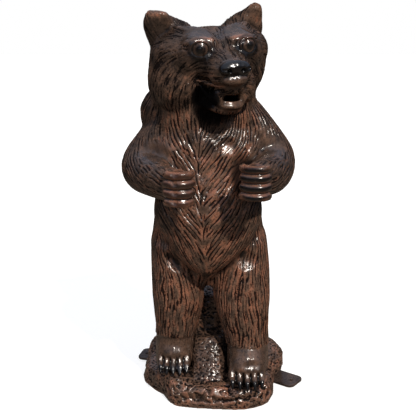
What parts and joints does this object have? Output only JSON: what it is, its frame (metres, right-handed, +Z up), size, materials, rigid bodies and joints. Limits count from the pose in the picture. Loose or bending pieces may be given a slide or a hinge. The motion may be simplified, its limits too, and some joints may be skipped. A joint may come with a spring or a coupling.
{
  "type": "bear statue",
  "caption": "Standing bear in cast aluminium with carved fur, on its hind legs on a rough rock base with two bolt-down lugs.",
  "frame": {"origin": "on the ground under the figure, on the flat underside of the rock", "axes": "+Z up along the standing figure, the bear's breast faces -Y, +X to the right as the viewer in front sees it"},
  "size_m": [0.71, 0.6544, 1.5015],
  "materials": {
    "bear_patina": "dark brown over black patina on cast aluminium, rubbed rusty brown on the ridges, glossy clear coat",
    "rock_patina": "rusty brown over black patina on rough cast aluminium, glossy clear coat",
    "lug_patina": "dark brown patina on a flat cast bar"
  },
  "bodies": {
    "root": {"bear_figure": "bear_patina", "rock_base": "rock_patina", "bolt_lug_right": "lug_patina", "bolt_lug_left": "lug_patina"}
  },
  "joints": []
}
